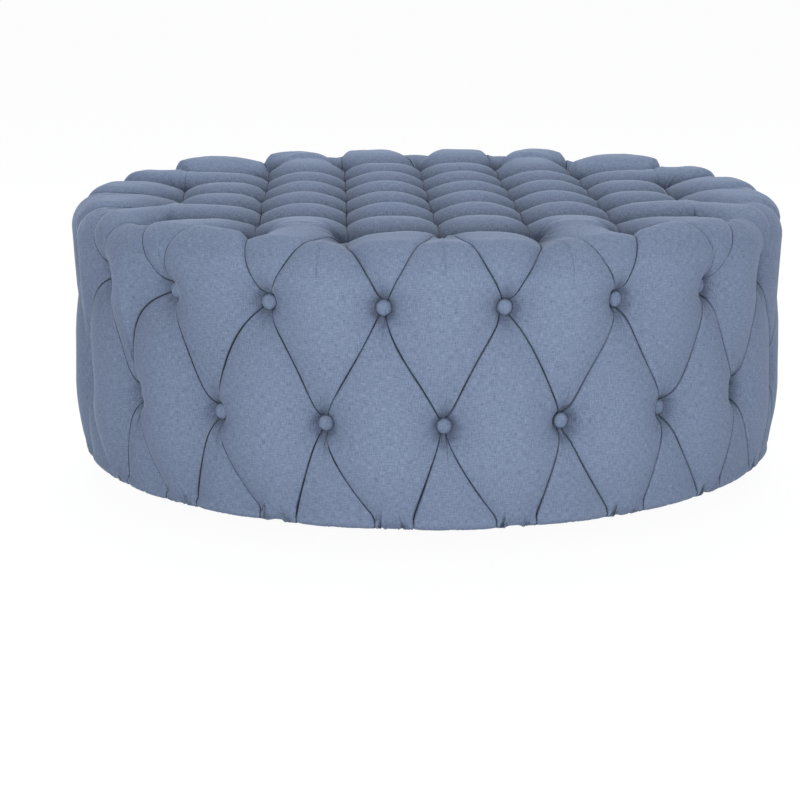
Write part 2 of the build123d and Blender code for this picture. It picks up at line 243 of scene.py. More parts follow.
def to_border(xy, near):
    """A place on the top, as a place on the border near this way round."""
    radius = np.hypot(xy[:, 0], xy[:, 1])
    way_round = np.arctan2(xy[:, 0], -xy[:, 1]) * outer_radius
    way_round = way_round + np.round((near - way_round) / whole_round) * whole_round
    return np.stack([way_round, way_at_radius(radius)], 1)


# %% [markdown]
# ## How a pleat runs
#
# A pleat is made once and shared by the puffs on both its sides. It has a
# place on the cover, a depth that falls steeply to the buttons at its ends,
# and a slit between the two folds. No two pleats are quite alike: each bows and
# sways a little, and on one side of the table the cover hangs looser.

# %% Sizes of the pleats
chance = np.random.RandomState(11)
spacing = 4.6
crowding = 0.45
button_reach = 9.0
funnel_reach = {"top": 5.5, "wall": 10.0, "rim": 22.0, "smooth": 7.0}
node_depth = {"top": 37.5, "wall": 34.0}
pleat_depth = {
    "column": 17.0,
    "row": 33.0,
    "smooth": 1.5,
    "rim": 11.0,
    "crest": 6.0,
    "deep_crest": 16.0,
    "wall": 11.5,
    "tuck": 9.0,
}
hem_depth = 1.5
mark_gap = 1.5
gap_depth = {"top": 5.0, "border": 9.0}
smooth_gap = 0.4
opening_length = 12
slit_sizes = {"top": (1.0, 1.6), "border": (1.6, 2.3)}
lap_sizes = (0.1, 0.7)
bow_and_sway = {"top": (2, 1), "wall": (6, 2.5), "rim": (3, 2)}
loose_turn, loose_width = 313.0, 26.0
loose_bow, loose_slit, loose_depth = 32.0, 2.6, 5.0
pleats = {}


def spread(length):
    """Shares along a pleat, closer together at the buttons."""
    count = max(int(round(length / spacing)), 4)
    u = np.linspace(0, 1, count + 1)
    return u - crowding * np.sin(2 * np.pi * u) / (2 * np.pi)


def fall(along, length, middle, first, final, reach, far_reach):
    """Depth of a pleat: shallow in the middle, and steep down to a button at an end."""
    near = np.exp(-np.clip(along - button_reach, 0, None) / reach)
    far = np.exp(-np.clip(length - along - button_reach, 0, None) / far_reach)
    return middle + (first - middle) * near + (final - middle) * far


def looseness(way_round):
    """How loose the cover is here: one side has wider, bowed folds."""
    turn = np.degrees(way_round / outer_radius)
    return math.exp(-(((turn - loose_turn) / loose_width) ** 2))


def draw_bow(kind):
    """A random bow and sway for one pleat."""
    bow, sway = bow_and_sway[kind]
    return chance.uniform(-bow, bow), chance.uniform(-sway, sway)


def bowed(start, end, bow, sway):
    """A line from mark to mark that bows and sways a little to one side."""
    way = end - start
    share = spread(np.linalg.norm(way))[:, None]
    side = np.array([way[1], -way[0]]) / np.linalg.norm(way)
    aside = bow * np.sin(np.pi * share) + sway * np.sin(2 * np.pi * share)
    return start + way * share + side * aside


def keep(name, place, middle, first, final, reach, kind, far_reach=None):
    """Works out a pleat from its line and its depths, and keeps it."""
    along = np.concatenate([[0], np.cumsum(np.linalg.norm(np.diff(place, axis=0), axis=1))])
    depth = fall(along, along[-1], middle, first, final, reach, far_reach or reach)
    openness = 1 - np.exp(-np.minimum(along, along[-1] - along) / opening_length)
    slit = chance.uniform(*slit_sizes[kind])
    if kind == "border" and name[1][0] != "rim":
        loose = looseness(place[0][0])
        slit += loose_slit * loose
        depth = depth + loose_depth * loose * openness
    pleats[name] = {
        "place": place,
        "depth": depth,
        "gap": mark_gap + (gap_depth[kind] - mark_gap) * openness,
        "open": openness,
        "kind": kind,
        "lap": chance.uniform(*lap_sizes),
        "slit": slit,
    }
    return pleats[name]


# %% Pleats of the top
def is_smooth(first, second):
    """Whether a pleat is next to a missing corner of the grid, where the cloth stays smooth."""
    widest = max(abs(first[0] + second[0]), abs(first[1] + second[1]))
    nearest = min(max(abs(first[n]), abs(second[n])) for n in (0, 1))
    return widest == 2 * last and nearest == last - 1


deep = node_depth["top"]
for i, k in grid:
    for other in ((i + 1, k), (i, k + 1)):
        if other not in grid:
            continue
        name = (("top", i, k), ("top", *other))
        place = bowed(top_place[name[0]], top_place[name[1]], *draw_bow("top"))
        smooth = is_smooth((i, k), other)
        which = "smooth" if smooth else "column" if i == other[0] else "row"
        reach = funnel_reach["smooth" if smooth else "top"]
        pleat = keep(name, place, pleat_depth[which], deep, deep, reach, "top")
        if which == "column":
            # Where the biscuits of two rows meet, the pleat between columns rolls down with them.
            off = np.clip(np.abs(2 * (place[:, 1] - place[0, 1]) / row_pitch - 1), 0, 1)
            drop = (deep - pleat_depth[which]) * (1 - np.sqrt(1 - off**2))
            pleat["depth"] = np.maximum(pleat["depth"], pleat_depth[which] + drop)
        if smooth:
            pleat["gap"][:] = smooth_gap
            pleat["open"][:] = 0
print(len(pleats), "pleats on the top")

# %% Pleats of the wall and over the rim
usual_lean, outward_lean, inward_lean = 6.0, 12.0, -5.0
corner_turns = (20, 35)
late_power = 4
straight_ahead = ((0, 1), (wall_tufts - 1, wall_tufts - 1))


def lean_of(start, end):
    """How far a pleat bows sideways over the rim, which the grid of the top decides."""
    quarter_turn = math.pi / 2 * outer_radius
    off_axis = [
        abs((x + quarter_turn / 2) % quarter_turn - quarter_turn / 2) / outer_radius
        for x in (start[0], end[0])
    ]
    button_turn, node_turn = np.degrees(off_axis)
    lean = usual_lean
    if corner_turns[0] < button_turn < corner_turns[1]:
        lean = outward_lean if node_turn < button_turn else inward_lean
    return lean if end[0] > start[0] else -lean


deep, reach = node_depth["wall"], funnel_reach["wall"]
for j in range(wall_tufts):
    start = wall_mark("upper", j)
    for low in (j, j + 1):
        bow, sway = draw_bow("wall")
        # On the loose side, the pleats that lean one way sag into a bow.
        bow += loose_bow * looseness(start[0]) * (low == j)
        place = bowed(start, wall_mark("lower", low), bow, sway)
        name = (("upper", j), ("lower", low))
        keep(name, place, pleat_depth["wall"], deep, deep, reach, "border")
    for top in (j, j + 1):
        end = to_border(top_place[rim_mark(top)][None, :], start[0])[0]
        bow, sway = draw_bow("rim")
        place = bowed(start, end, bow + lean_of(start, end), sway)
        if j % 5 == 2 and abs(rim_mark(top)[2]) == last:
            # At a corner of the grid, one pleat runs straight up and turns late.
            share = (place[:, 1] - start[1]) / (end[1] - start[1])
            place[:, 0] = start[0] + (end[0] - start[0]) * share**late_power
        crest = pleat_depth["deep_crest" if (j, top) in straight_ahead else "crest"]
        share = np.clip((place[:, 1] - start[1]) / (crest_way - start[1]), 0, 1)
        middle = pleat_depth["rim"] + (crest - pleat_depth["rim"]) * eased(share)
        final = node_depth["top"] - below_top(end[1])
        name = (("upper", j), ("rim", top))
        keep(name, place, middle, deep, final, reach, "border", funnel_reach["rim"])
print(len(pleats), "pleats with those of the wall")

# %% Pleats that tuck under to the hem
edge_way = way_at_height(edge_height)
hem_reaches = (("left", -34.0, 0.95), ("right", 64.0, 1.3))
hem_sway = 5
for j in range(wall_tufts):
    start = wall_mark("lower", j)
    for side, hem_reach, power in hem_reaches:
        way = lower_way * (1 - spread(lower_way))
        down = np.clip((lower_way - way) / (lower_way - edge_way), 0, 1)
        across = (hem_reach + chance.uniform(-hem_sway, hem_sway)) * down**power
        place = np.stack([start[0] + across, way], 1)
        name = (("lower", j), ("hem", j, side))
        keep(name, place, pleat_depth["tuck"], deep, hem_depth, reach, "border")
print(len(pleats), "pleats in all")

# %% [markdown]
# ## Blowing up a puff
#
# Each puff is cloth held down along its pleats and pushed out by the filling.
# Cloth under even pressure takes the shape of a soap film blown up over a
# wire, which is quick to work out: the film's height over each point is found
# from the heights round its edge. This gives the gentle crowns between the
# pleats, and the same result each time.

# %% Solver for the blown-up film
most_rounds = 500
close_enough = 1e-12


def film(points, faces, held, edge_heights):
    """Heights of a film held along its edge, for no pressure and for unit pressure."""
    a, b, c = (points[faces[:, n]] for n in range(3))
    weights, rows, columns = [], [], []
    for p, q, r, first, second in ((a, b, c, 1, 2), (b, c, a, 2, 0), (c, a, b, 0, 1)):
        u, v = q - p, r - p
        cross = np.linalg.norm(np.cross(u, v), axis=1)
        weights.append(0.5 * np.einsum("ij,ij->i", u, v) / np.maximum(cross, 1e-9))
        rows.append(faces[:, first])
        columns.append(faces[:, second])
    n = len(points)
    here, there = np.concatenate(rows), np.concatenate(columns)
    rows, columns = np.concatenate([here, there]), np.concatenate([there, here])
    w = np.tile(np.concatenate(weights), 2)
    total = np.bincount(rows, w, n)
    area = np.linalg.norm(np.cross(b - a, c - a), axis=1) / 2
    load = sum(np.bincount(faces[:, m], area / 3, n) for m in range(3))
    free = ~held

    def pull(x):
        return total * x - np.bincount(rows, w * x[columns], n)

    results = []
    for fixed, push in ((edge_heights, 0.0), (np.zeros(n), 1.0)):
        x = np.where(held, fixed, fixed[held].mean())
        rest = np.where(free, load * push - pull(x), 0)
        z = rest / total
        way, size = z.copy(), rest @ z
        for _ in range(most_rounds):
            image = np.where(free, pull(way), 0)
            amount = size / max(way @ image, 1e-30)
            x += amount * way
            rest -= amount * image
            z = rest / total
            new_size = rest @ z
            if new_size < close_enough * n:
                break
            way = z + new_size / size * way
            size = new_size
        results.append(x)
    return results


# %% [markdown]
# ## Laying out a puff
#
# A puff is a set of rings, from the bottom of its pleats to its middle. The
# first rings roll over the lip of the pleat. One side of a folded pleat laps
# over the other, so its lip stands out past the pleat's bottom, and that is
# what makes the thin dark line that shows in the photograph.

# %% Rings of one puff
lap_lift = 0.9
near_rings = (3.2, 5.4, 8.2, 11.8, 16.2)
ring_step = 6.2
# Near a sharp tip the rings would crowd together, so a step inwards has a least size there
least_inward = 18
inward_limit = 2.6
tip_reach = 5
tip_blend = 3
# For each ring of the lip: share of the lap, way inwards, share of the gap, share of the lift
lip_rings = (
    (0, 0, 1, 0),
    (-0.9, 0, 0.55, 0),
    (-1, 0, 0.25, 0.6),
    (-1, 0.5, 0.07, 0.9),
    (0, 1.5, 0, 1),
)


def run(name, reverse):
    """One pleat's samples, in the direction that a puff goes round it."""
    pleat = pleats[name]
    parts = [pleat["place"], pleat["depth"], pleat["gap"], pleat["open"]]
    parts = [part[::-1] if reverse else part for part in parts]
    over = -pleat["slit"] if reverse else pleat["lap"]
    return parts, over, pleat["kind"]


def hem_run(start, end):
    """The side of a puff along the hem, which has no pleat."""
    count = max(int(round(abs(end[0] - start[0]) / spacing)), 3)
    share = np.linspace(0, 1, count + 1)[:, None]
    place = start + (end - start) * share
    none = np.zeros(len(place))
    return [place, none + hem_depth, none, none], 0.0, "border"


def outline(runs, kind, near):
    """Joins the pleats round a puff into one ring of samples."""
    rows = []
    for (points, deep, gaps, opens), lap, made in runs:
        if kind == "border" and made == "top":
            points = to_border(points, near)
            deep = deep - below_top(points[:, 1])
        elif kind == "border":
            rounds = np.round((near - points[:, 0].mean()) / whole_round)
            points = points + np.array([rounds * whole_round, 0])
        laps = np.full(len(points), lap)
        rows.append([part[:-1] for part in (points, deep, gaps, opens, laps)])
    return [np.concatenate(part) for part in zip(*rows)]


def around(values, width):
    """A running mean round a closed ring."""
    return sum(np.roll(values, n) for n in range(-width, width + 1)) / (2 * width + 1)


def lay_out(runs, kind, near):
    """The rings of a puff: their places, the heights of the lip's rings, and the middle."""
    place, depth, gap, openness, over = outline(runs, kind, near)
    centre = place.mean(0)
    ahead = np.roll(place, -1, 0) - np.roll(place, 1, 0)
    ahead /= np.linalg.norm(ahead, axis=1)[:, None]
    to_centre = centre - place
    inward = to_centre[:, 1] * ahead[:, 0] - to_centre[:, 0] * ahead[:, 1]
    least = np.maximum(least_inward, np.linalg.norm(to_centre, axis=1) / inward_limit)
    inward = np.maximum(inward, least)
    nearby = [np.roll(inward, n) for n in range(-tip_reach, tip_reach + 1)]
    inward = around(np.min(nearby, axis=0), tip_blend)
    over = over * openness
    lift = np.where(over > 0, lap_lift, -lap_lift) * openness
    shares, heights = [], []
    for lap_share, offset, gap_share, lift_share in lip_rings:
        shares.append((over * lap_share + offset) / inward)
        heights.append(-(depth + gap * gap_share) + lift * lift_share)
    shares += [offset / inward for offset in near_rings]
    start = shares[-1]
    count = max(int(round((inward.mean() - near_rings[-1]) / ring_step)), 2)
    shares += [start + (1 - start) * n / count for n in range(1, count)]
    places = [place + to_centre * share[:, None] for share in shares]
    return places, heights, centre


def faces_of(count, ring):
    """Quads from ring to ring, and the fan that closes the last ring at the middle."""
    index = np.arange(count * ring).reshape(count, ring)
    beside = np.roll(index, -1, 1)
    quads = np.stack([index[:-1], beside[:-1], beside[1:], index[1:]], -1).reshape(-1, 4)
    fan = np.stack([index[-1], beside[-1], np.full(ring, count * ring)], -1)
    return quads, fan


# %% [markdown]
# ## Filling a puff
#
# The film is blown up until its crown reaches the level that the filling gives
# it. The puffs round the rim are stuffed harder, so their crowns are broader.
# Then the cloth is drawn in to a funnel at each button. Each point also keeps
# how deep it lies below the crests, for the painted shade of the valleys.

# %% Heights of one puff
crown_drop = {"top": (0.0, 0.9), "border": (0.8, 3.0)}
fullness = {"top": 0.9, "border": 0.85}
rim_fill = 1.12
cap_power = 5.0
least_room = 0.3
widest_blend = 4


def filled(points, faces, lip, kind, fill):
    """Heights of a puff from its lip, which is the first ring of points, to its middle."""
    ring = len(lip)
    held = np.arange(len(points)) < ring
    edge = np.zeros(len(points))
    edge[:ring] = lip
    still, blown = film(points, faces, held, edge)
    crown = -chance.uniform(*crown_drop[kind])
    blown = blown.max() * np.clip(blown / blown.max(), 0, 1) ** fullness[kind]
    if fill > 1:
        room = np.maximum(crown - still, least_room)
        peak = np.argmax(blown)
        push = np.maximum(fill * room[peak] * blown / blown[peak], 1e-6)
        height = still + (push**-cap_power + room**-cap_power) ** (-1 / cap_power)
    else:
        high = blown > 0.5 * blown.max()
        height = still + np.min((crown - still[high]) / blown[high]) * blown
    rings = height[ring:-1].reshape(-1, ring)
    for n in range(len(rings)):
        rings[n] = around(rings[n], min(n, widest_blend))
    return height


# %% Funnels at the buttons
funnel_curve = {"top": 0.6, "border": 0.28}
funnel_floor = 9.5
funnel_lift = 0.5
funnel_slack = 1.5
funnel_soft = 1.4


def drawn_in(flat, height, marks):
    """Heights of a puff, drawn in to a funnel at each of its marks."""
    for mark, deep in marks:
        away = np.linalg.norm(flat - mark, axis=1)
        curve = funnel_curve["border" if deep == node_depth["wall"] else "top"]
        cap = -deep + funnel_lift + curve * np.clip(away - funnel_floor, 0, None) ** 2
        cap = np.maximum(cap, -deep - funnel_slack)
        height = -funnel_soft * np.logaddexp(-height / funnel_soft, -cap / funnel_soft)
    return height


# %% What the rim and the hem do to a puff
under_way = line_way[under_samples - 1]
rim_way = way_at_height(rim_start)
rim_blend = rim_radius * 1.4
raised_rings = 4
kite_fall, kite_fall_width = 3.0, 60
hem_share = 0.12
crest_width = 45
# How much the depth on the wall counts toward the painted valley shade.
wall_sunk_share = 0.35


def over_rim(flat, height, inner_ring, floor_height, rise, kite):
    """Heights of a puff of the border, raised over the rim and thinned at the hem."""
    on_rim = np.clip((flat[:, 1] - rim_way) / rim_blend, 0, 1)
    past_crest = np.clip((flat[:, 1] - crest_way) / kite_fall_width, 0, 1)
    raised = rise * on_rim - kite_fall * past_crest * kite
    inside = np.clip(inner_ring / raised_rings, 0, 1)
    height = np.maximum(height + raised * inside, np.minimum(height, floor_height))
    return height * np.clip((flat[:, 1] - under_way) / (edge_way - under_way), hem_share, 1)


def puff(runs, kind, near=0.0, marks=(), rise=0.0, fill=1.0, kite=False):
    """Points, faces, cloth places and depths of one blown-up puff."""
    places, heights, centre = lay_out(runs, kind, near)
    lay = on_border if kind == "border" else on_top
    ring = len(places[0])
    flat = np.concatenate(places + [centre[None, :]])
    quads, fan = faces_of(len(places), ring)
    first = (len(heights) - 1) * ring
    inner = quads[quads.min(1) >= first]
    faces = np.concatenate([inner[:, [0, 1, 2]], inner[:, [0, 2, 3]], fan]) - first
    base = lay(flat, np.zeros(len(flat)))[first:]
    height = filled(base, faces, heights[-1], kind, fill)
    height = drawn_in(flat, np.concatenate(heights[:-1] + [height]), marks)
    if kind == "border":
        inner_ring = np.arange(len(flat)) // ring - len(heights) + 1
        height = over_rim(flat, height, inner_ring, -marks[-1][1], rise, kite)
    # Depth below the crests, kept for painted shade: the finish darkens the colour with it in the
    # valleys, and on the wall it counts for less.
    sunk = np.clip(-height, 0, None)
    if kind == "border":
        on_flat = np.clip((flat[:, 1] - crest_way) / crest_width, 0, 1)
        sunk = sunk * (on_flat + wall_sunk_share * (1 - on_flat))
    return lay(flat, height), quads, fan, flat, sunk


# %% [markdown]
# ## Sewing the puffs together
#
# The puffs of the wall and rim make one piece of the cover, and the biscuits
# of the top make the other, as on the real cover. Neighbours share the points
# at the bottom of their pleats, which are merged so that the cloth is one.

# %% Puffs of the top
def both(first, second, forward=True):
    """A pleat by its two marks, and whether the puff goes along it forwards."""
    return run((first, second), not forward)


def top_puff(i, k):
    """A square biscuit of the top, by its first corner."""
    corners = [("top", i, k), ("top", i + 1, k), ("top", i + 1, k + 1), ("top", i, k + 1)]
    runs = [
        both(corners[0], corners[1]),
        both(corners[1], corners[2]),
        both(corners[3], corners[2], False),
        both(corners[0], corners[3], False),
    ]
    marks = [(top_place[corner], node_depth["top"]) for corner in corners]
    at_rim = max(abs(2 * i + 1), abs(2 * k + 1)) == 2 * last - 1
    return puff(runs, "top", marks=marks, fill=rim_fill if at_rim else 1.0)


# %% Puffs of the wall
kite_dip = 4.0
front_corner_rise = 9.0
front_corners = (2, wall_tufts - 2)
back_rise = 4.0
back_corner_rises = {6: 3.5, 7: 8.5, 8: 4.5, 11: 4.5, 12: 8.5, 13: 3.5}


def rim_run(first, second):
    """The pleat of the top between two of its marks, whichever way it was made."""
    if (first, second) in pleats:
        return both(first, second)
    return both(second, first, False)


def marks_near(names, near):
    """Places and depths of marks, as the border sees them."""
    found = []
    for name in names:
        if name[0] == "top":
            place = to_border(top_place[name][None, :], near)[0]
            found.append((place, node_depth["top"] - below_top(place[1])))
        else:
            place = border_place[(name[0], name[1] % wall_tufts)].copy()
            place[0] += np.round((near - place[0]) / whole_round) * whole_round
            found.append((place, node_depth["wall"]))
    return found


def behind(way_round):
    """How far round to the back a place is, from 0 at the front to 1."""
    return 0.5 - 0.5 * math.cos(way_round / outer_radius)


def kite_puff(j):
    """The kite between two upper marks, a rim mark and lower mark j."""
    before = (j - 1) % wall_tufts
    near = j * step_round
    upper, left, lower = ("upper", j), ("upper", before), ("lower", j)
    runs = [
        both(upper, lower, False),
        both(upper, ("rim", j)),
        both(left, ("rim", before + 1), False),
        both(left, ("lower", before + 1)),
    ]
    marks = marks_near([lower, upper, left, rim_mark(j)], near)
    rise = front_corner_rise * (j in front_corners) - kite_dip * behind(near)
    return puff(runs, "border", near, marks, rise, kite=True)


def rim_puff(j):
    """The puff that goes over the rim from upper mark j to two or three marks of the top."""
    near = (j + 0.5) * step_round
    upper, here, beyond = ("upper", j), rim_mark(j), rim_mark(j + 1)
    names = [upper, here, beyond]
    along_top = [rim_run(beyond, here)] if here[1] == beyond[1] or here[2] == beyond[2] else []
    if not along_top:
        inner = ("top", *(min(here[n], beyond[n], key=abs) for n in (1, 2)))
        names.append(inner)
        along_top = [rim_run(beyond, inner), rim_run(inner, here)]
    runs = [both(upper, ("rim", j + 1)), *along_top, both(upper, ("rim", j), False)]
    rise = back_corner_rises.get(j, 0) + back_rise * behind(near)
    return puff(runs, "border", near, marks_near(names, near), rise, rim_fill)


def wall_puff(j):
    """The diamond under upper mark j, down to the hem."""
    after = (j + 1) % wall_tufts
    near = (j + 0.5) * step_round
    upper, lower, right = ("upper", j), ("lower", j), ("lower", after)
    own, following = pleats[(lower, ("hem", j, "right"))], pleats[(right, ("hem", after, "left"))]
    shift = np.array([whole_round if after == 0 else 0, 0])
    runs = [
        both(upper, lower),
        both(lower, ("hem", j, "right")),
        hem_run(own["place"][-1], following["place"][-1] + shift),
        both(right, ("hem", after, "left"), False),
        both(upper, ("lower", j + 1), False),
    ]
    return puff(runs, "border", near, marks_near([upper, lower, right], near))


def heel_puff(j):
    """The small puff under lower mark j."""
    near, lower = j * step_round, ("lower", j)
    left, right = pleats[(lower, ("hem", j, "left"))], pleats[(lower, ("hem", j, "right"))]
    runs = [
        both(lower, ("hem", j, "left")),
        hem_run(left["place"][-1], right["place"][-1]),
        both(lower, ("hem", j, "right"), False),
    ]
    return puff(runs, "border", near, marks_near([lower], near))


# %% Build a cover piece from its puffs
ripple_sizes = ((0.055, 0.55), (0.021, 0.3))
merge_distance = 0.03 * MM


def ripple(mesh):
    """Merges the shared points of a cover and ripples its cloth a little."""
    work = bmesh.new()
    work.from_mesh(mesh)
    bmesh.ops.remove_doubles(work, verts=work.verts, dist=merge_distance)
    work.normal_update()
    for vertex in work.verts:
        here = vertex.co
        lift = sum(size * noise.noise(here / scale) for scale, size in ripple_sizes)
        vertex.co = here + vertex.normal * (lift * MM)
    work.to_mesh(mesh)
    work.free()


def cover(name, puffs, node):
    """One sewn piece of the cover, with its cloth places as a UV map."""
    points, faces, cloth, sunk = [], [], [], []
    start = 0
    for place, quads, fan, flat, below in puffs:
        points.append(place)
        sunk.append(below)
        cloth.append(flat)
        faces += (quads + start).tolist() + (fan + start).tolist()
        start += len(place)
    points, cloth = np.concatenate(points) * MM, np.concatenate(cloth) * MM
    mesh = bpy.data.meshes.new(name)
    mesh.from_pydata(points.tolist(), [], faces)
    # Each point's depth below the crests, which the finish uses for painted shade in the valleys.
    depths = mesh.attributes.new("sunk", "FLOAT", "POINT")
    depths.data.foreach_set("value", np.concatenate(sunk).astype(np.float32))
    places = mesh.uv_layers.new(name="cloth")
    corners = np.zeros(len(mesh.loops), np.int32)
    mesh.loops.foreach_get("vertex_index", corners)
    places.data.foreach_set("uv", cloth[corners].ravel().astype(np.float32))
    piece = bpy.data.objects.new(name, mesh)
    bpy.context.scene.collection.objects.link(piece)
    ripple(mesh)
    mesh.polygons.foreach_set("use_smooth", [True] * len(mesh.polygons))
    mesh.update()
    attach(piece, "root")
    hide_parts(node)
    print(name, len(mesh.vertices), "points", len(mesh.polygons), "faces")
    return piece


# %% Sew the two pieces of the cover
kinds = (kite_puff, rim_puff, wall_puff, heel_puff)
border_puffs = [make(j) for j in range(wall_tufts) for make in kinds]
border_cover = cover("border_cover", border_puffs, "tufted_border")
cells = [
    (i, k)
    for i in range(-last, last)
    for k in range(-last, last)
    if not (i in (-last, last - 1) and k in (-last, last - 1))
]
top_cover = cover("top_cover", [top_puff(i, k) for i, k in cells], "tufted_top")

# %% [markdown]
# ## Covered buttons
#
# Each button is a low metal dome wrapped in the same cloth. It is modelled
# once: a ball cut in half, flattened, with a short skirt that turns in under
# it. Then it is set on every mark, turned a little at random, because the
# cloth of each one is cut on its own.

# %% One button
button_radius = 0.0100
dome_share = 0.42
dome_cut = 0.0002
skirt_height = 0.0028
skirt_taper = 0.9

bpy.ops.object.select_all(action="DESELECT")
bpy.ops.mesh.primitive_uv_sphere_add(segments=28, ring_count=16, radius=button_radius)
button = bpy.context.object
button.name = "button_pattern"
bpy.ops.object.mode_set(mode="EDIT")
bpy.ops.mesh.select_all(action="SELECT")
bpy.ops.mesh.bisect(plane_co=(0, 0, dome_cut), plane_no=(0, 0, 1), clear_inner=True)
bpy.ops.mesh.select_all(action="SELECT")
bpy.ops.transform.resize(value=(1, 1, dome_share))
bpy.ops.mesh.select_all(action="DESELECT")
bpy.ops.mesh.select_non_manifold()
for _ in range(2):
    bpy.ops.mesh.extrude_region_move(
        TRANSFORM_OT_translate={"value": (0, 0, -skirt_height * 0.5)}
    )
bpy.ops.transform.resize(value=(skirt_taper, skirt_taper, 1))
bpy.ops.mesh.edge_face_add()
bpy.ops.mesh.select_all(action="SELECT")
bpy.ops.transform.translate(value=(0, 0, skirt_height))
bpy.ops.mesh.normals_make_consistent(inside=False)
bpy.ops.object.mode_set(mode="OBJECT")
bpy.ops.object.shade_smooth()
print("button", len(button.data.polygons), "faces")

# %% Buttons on their marks
button_lift = 0.0022
most_tilt = 0.06
most_turn = 0.5


def seat(point, outwards, turn):
    """Where a button goes: its middle at the point, its face outwards."""
    facing = outwards.to_track_quat("Z", "Y").to_matrix().to_4x4()
    tilts = [chance.uniform(-most_tilt, most_tilt) for _ in range(2)]
    return Matrix.Translation(point) @ facing @ Euler((*tilts, turn)).to_matrix().to_4x4()


def set_buttons(name, seats, node):
    """One piece that holds a copy of the button on each seat."""
    made = bmesh.new()
    cloth = made.loops.layers.uv.new("cloth")
    for point, outwards in seats:
        matrix = seat(point, outwards, chance.uniform(-most_turn, most_turn))
        shift = Vector(chance.uniform(0, 1, 2))
        flat = [vertex.co.xy + shift for vertex in button.data.vertices]
        mesh = button.data.copy()
        mesh.transform(matrix)
        faces_before, points_before = len(made.faces), len(made.verts)
        made.from_mesh(mesh)
        bpy.data.meshes.remove(mesh)
        made.faces.ensure_lookup_table()
        made.verts.index_update()
        for face in made.faces[faces_before:]:
            for loop in face.loops:
                loop[cloth].uv = flat[loop.vert.index - points_before]
    mesh = bpy.data.meshes.new(name)
    made.to_mesh(mesh)
    made.free()
    piece = bpy.data.objects.new(name, mesh)
    bpy.context.scene.collection.objects.link(piece)
    mesh.polygons.foreach_set("use_smooth", [True] * len(mesh.polygons))
    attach(piece, "root")
    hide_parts(node)
    print(name, len(seats), "buttons")
    return piece


def wall_seats(half, height):
    """Places round the wall, at the middle of each button's foot."""
    radius = (outer_radius - padding) * MM + button_lift
    seats = []
    for j in range(wall_tufts):
        angle = 2 * math.pi * (j + half) / wall_tufts
        out = Vector((math.sin(angle), -math.cos(angle), 0))
        seats.append((out * radius + Vector((0, 0, height * MM)), out))
    return seats


top_level = (total_height - padding) * MM + button_lift
top_seats = [
    (Vector((i * column_pitch * MM, k * row_pitch * MM, top_level)), Vector((0, 0, 1)))
    for i, k in grid
]
top_set = set_buttons("top_button_set", top_seats, "top_buttons")
upper_set = set_buttons("upper_button_set", wall_seats(0.5, upper_row), "upper_buttons")
lower_set = set_buttons("lower_button_set", wall_seats(0, lower_row), "lower_buttons")
bpy.data.objects.remove(button)

# %% [markdown]
# ## Finishes
#
# Every finish is made of nodes. Colours are written as on a colour chart, and
# one function turns them to the linear values that the renderer needs.

# %% Helpers for finishes
def linear(code):
    """A colour such as 6c82a6, as linear red, green, blue and alpha."""
    parts = [int(code[n : n + 2], 16) / 255 for n in (0, 2, 4)]
    return (*[p / 12.92 if p <= 0.04045 else ((p + 0.055) / 1.055) ** 2.4 for p in parts], 1)


def new_finish(name):
    """A material with its tree of nodes and its shader."""
    finish = bpy.data.materials.new(name)
    finish.use_nodes = True
    return finish, finish.node_tree, finish.node_tree.nodes["Principled BSDF"]


def add(tree, kind, inputs=None, **settings):
    """One node with its settings, and its inputs set or linked."""
    made = tree.nodes.new(kind)
    for name, value in settings.items():
        setattr(made, name, value)
    for name, value in (inputs or {}).items():
        if isinstance(value, bpy.types.NodeSocket):
            tree.links.new(value, made.inputs[name])
        else:
            made.inputs[name].default_value = value
    return made


# %% [markdown]
# ## The cover's cloth
#
# The cover is a plain-woven linen-look polyester in slate blue. Its yarns are
# uneven: short thick places, called slubs, run along both directions and show
# as a fine lighter and darker hatching. The real yarns are about 0.7 mm apart,
# too fine to show at this size, so the weave is drawn at 1.3 mm. Painted shade
# darkens the cloth's colour toward the bottom of the pleats, by the depth that
# each point keeps and by how much of the open room it sees, and a little painted
# light lifts it at the crests.

# %% Linen-look weave
yarn = 1.3 * MM
slub_width = 1.1 * MM
slub_length = 8 * MM
wave_period = 2 * math.pi / 20

weave, tree, shader = new_finish("linen_look_weave")
cloth = add(tree, "ShaderNodeUVMap", uv_map="cloth").outputs["UV"]
threads = []
for across, along in ((slub_width, slub_length), (slub_length, slub_width)):
    scale = (1 / across, 1 / along, 1)
    placed = add(tree, "ShaderNodeMapping", {"Vector": cloth, "Scale": scale}).outputs["Vector"]
    slub = {"Vector": placed, "Scale": 1.0, "Detail": 2.0, "Roughness": 0.6}
    threads.append(add(tree, "ShaderNodeTexNoise", slub).outputs["Fac"])
bands = []
for direction in ("X", "Y"):
    waves = {"Vector": cloth, "Scale": wave_period / yarn, "Distortion": 0.6, "Detail": 1.0}
    band = add(tree, "ShaderNodeTexWave", waves, bands_direction=direction)
    bands.append(band.outputs["Fac"])
slubs = add(tree, "ShaderNodeMath", {0: threads[0], 1: threads[1]}, operation="ADD").outputs[0]
woven = add(tree, "ShaderNodeMath", {0: bands[0], 1: bands[1]}, operation="MULTIPLY").outputs[0]
levels = {0: woven, 1: 0.35, 2: slubs}
height = add(tree, "ShaderNodeMath", levels, operation="MULTIPLY_ADD").outputs[0]
shades = {"Value": height, "From Min": 0.72, "From Max": 1.45, "To Min": 0.0, "To Max": 1.0}
shade = add(tree, "ShaderNodeMapRange", shades).outputs["Result"]
tints = {"Factor": shade, "A": linear("5f6e88"), "B": linear("92a0ba")}
